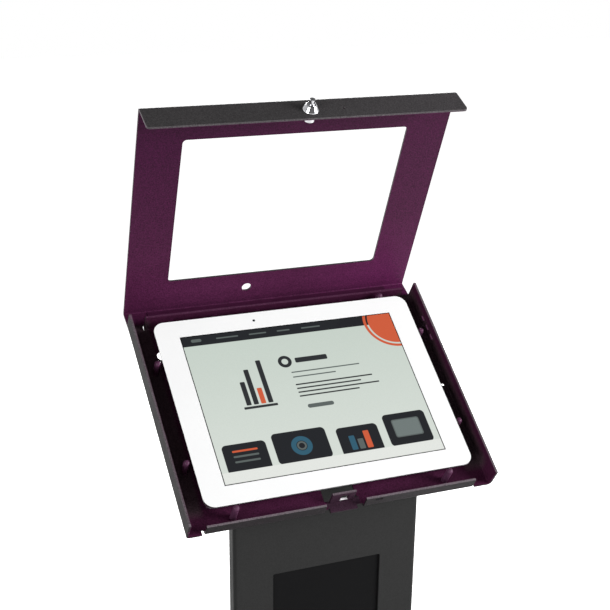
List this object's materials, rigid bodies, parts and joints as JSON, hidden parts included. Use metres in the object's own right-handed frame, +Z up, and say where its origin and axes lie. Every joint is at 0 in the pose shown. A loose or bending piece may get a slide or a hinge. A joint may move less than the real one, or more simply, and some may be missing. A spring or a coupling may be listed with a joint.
{
  "type": "tablet security kiosk stand",
  "caption": "Floor stand that holds a tablet in a sloped steel tray under a hinged window lid with a push lock, on a flat column and a foot plate.",
  "frame": {"origin": "on the floor under the middle of the foot plate", "axes": "+Z up, -Y towards the user, +X to the user's right"},
  "size_m": [0.36, 0.35, 1.2001],
  "materials": {
    "charcoal_paint": "fine powder coat",
    "aubergine_paint": "fine metallic powder coat, charcoal on the outside",
    "black_rubber": "matte",
    "zinc": "zinc plated",
    "black_panel": "satin",
    "chrome": "polished",
    "aluminium": "satin",
    "white_front": "gloss, printed white behind",
    "display": "gloss, lit from behind",
    "lens": "gloss",
    "battery": "foil",
    "circuit_board": "solder mask"
  },
  "bodies": {
    "stand": {"base_plate": "charcoal_paint", "base_pads": "black_rubber", "base_bolts": "zinc", "foot_flange": "zinc", "column_spine": "charcoal_paint", "column_fascia": "charcoal_paint", "insert_rails": "zinc", "insert_panel": "black_panel", "fascia_nuts": "zinc", "service_cover": "charcoal_paint", "cover_screws": "zinc", "cable_gland": "black_rubber", "head_plate": "charcoal_paint", "head_screws": "zinc", "head_nuts": "zinc", "tray": "aubergine_paint", "locating_posts": "aubergine_paint", "rest_pads": "black_rubber", "hinge_leaf_tray": "aubergine_paint", "hinge_pin": "aubergine_paint", "hinge_rivets_tray": "aubergine_paint", "tablet_shell": "aluminium", "tablet_front": "white_front", "tablet_display": "display", "camera_lens": "lens", "tablet_battery": "battery", "tablet_board": "circuit_board"},
    "lid": {"lid_frame": "aubergine_paint", "hinge_leaf_lid": "aubergine_paint", "hinge_rivets_lid": "charcoal_paint", "lock_body": "chrome", "lock_clip": "zinc"},
    "plunger": {"lock_plunger": "chrome"},
    "plug": {"key_plug": "zinc"},
    "power": {"power_button": "aluminium"},
    "volume": {"volume_rocker": "aluminium"}
  },
  "joints": [
    {"name": "lid_hinge", "type": "hinge", "parent": "stand", "child": "lid", "pos_m": [0, 0.15589, 0.99459], "axis": [1, 0, 0], "range_deg": [-8, 99.7]},
    {"name": "lock_push", "type": "slide", "parent": "lid", "child": "plunger", "axis": [0, 0.4115, -0.9114], "range_m": [0, 0.0038], "stiffness_N_per_m": 400},
    {"name": "key_turn", "type": "hinge", "parent": "plunger", "child": "plug", "pos_m": [0, 0.06907, 1.19853], "axis": [0, 0.4115, -0.9114], "range_deg": [0, 90]},
    {"name": "power_press", "type": "slide", "parent": "stand", "child": "power", "axis": [0, -0.829, -0.5592], "range_m": [0, 0.0004], "stiffness_N_per_m": 1500},
    {"name": "volume_press", "type": "slide", "parent": "stand", "child": "volume", "axis": [-1, 0, 0], "range_m": [0, 0.0004], "stiffness_N_per_m": 1500}
  ]
}
